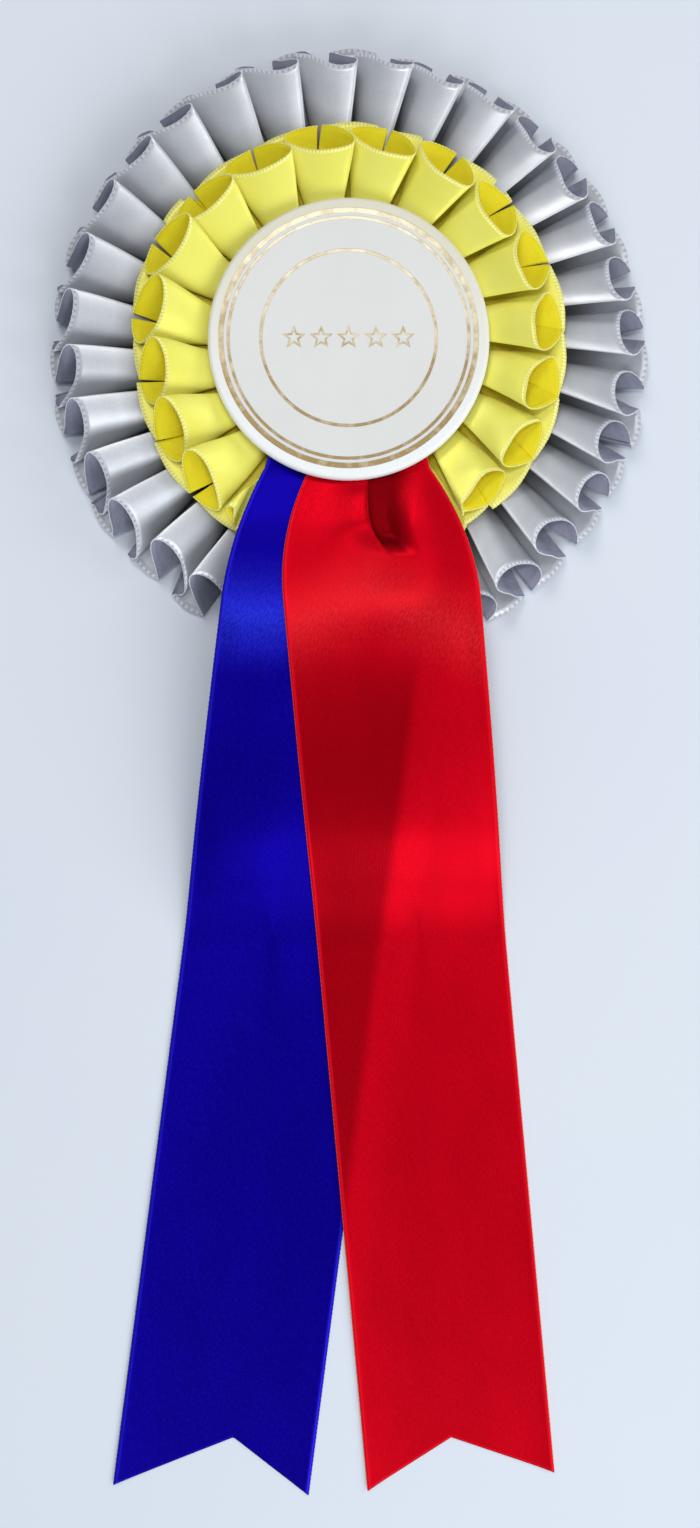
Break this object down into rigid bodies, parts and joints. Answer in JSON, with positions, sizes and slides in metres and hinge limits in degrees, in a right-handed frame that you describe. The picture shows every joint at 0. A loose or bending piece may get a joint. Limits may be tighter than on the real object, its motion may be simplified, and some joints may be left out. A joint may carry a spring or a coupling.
{
  "type": "award rosette",
  "caption": "Pleated two-tier award rosette with a foil-stamped centre disc, two swallowtail satin tails and a brooch pin on its back.",
  "frame": {"origin": "centre of the back cover's outer face, on the rosette's axis", "axes": "+Z out of the rosette's face, -Y along the hanging tails, +X to the right as seen from the front"},
  "size_m": [0.1268, 0.306, 0.0166],
  "materials": {
    "silver_satin": "satin",
    "yellow_satin": "satin",
    "red_satin": "satin",
    "blue_satin": "satin",
    "ivory_paper": "smooth",
    "gold_foil": "hot-stamped foil",
    "grey_board": "matte",
    "white_paper": "matte",
    "white_thread": "matte",
    "foam": "matte",
    "nickel_steel": "nickel plated",
    "staple_wire": "galvanised"
  },
  "bodies": {
    "rosette": {"outer_pleats": "silver_satin", "inner_pleats": "yellow_satin", "outer_stitching": "white_thread", "inner_stitching": "white_thread", "outer_card": "grey_board", "inner_card": "grey_board", "outer_packing": "grey_board", "inner_packing": "grey_board", "centre_cover": "ivory_paper", "centre_board": "grey_board", "broad_foil_ring": "gold_foil", "fine_foil_ring": "gold_foil", "small_foil_ring": "gold_foil", "foil_stars": "gold_foil", "foam_pad": "foam", "red_tail_tuck": "red_satin", "blue_tail_tuck": "blue_satin", "tail_staples": "staple_wire", "tier_staples": "staple_wire", "back_board": "grey_board", "back_cover": "white_paper", "brooch_bar": "nickel_steel", "brooch_rivet": "nickel_steel", "catch_housing": "nickel_steel"},
    "red_tail": {"red_tail": "red_satin"},
    "blue_tail": {"blue_tail": "blue_satin"},
    "brooch_pin": {"brooch_pin": "nickel_steel"},
    "catch_roller": {"catch_roller": "nickel_steel"}
  },
  "joints": [
    {"name": "red_tail_lift", "type": "hinge", "parent": "rosette", "child": "red_tail", "pos_m": [0.002, -0.0325, 0.0085], "axis": [-1, 0, 0], "range_deg": [0, 95]},
    {"name": "blue_tail_lift", "type": "hinge", "parent": "rosette", "child": "blue_tail", "pos_m": [0.002, -0.0325, 0.00805], "axis": [-1, 0, 0], "range_deg": [0, 67]},
    {"name": "brooch_pin_swing", "type": "hinge", "parent": "rosette", "child": "brooch_pin", "pos_m": [-0.012, 0.009, -0.002], "axis": [0, 1, 0], "range_deg": [0, 75]},
    {"name": "catch_roller_turn", "type": "hinge", "parent": "rosette", "child": "catch_roller", "pos_m": [0.011, 0.009, -0.002], "axis": [-1, 0, 0], "range_deg": [0, 90]}
  ],
  "couplings": [
    {"joint": "blue_tail_lift", "follows": "red_tail_lift", "ratio": 0.7}
  ]
}
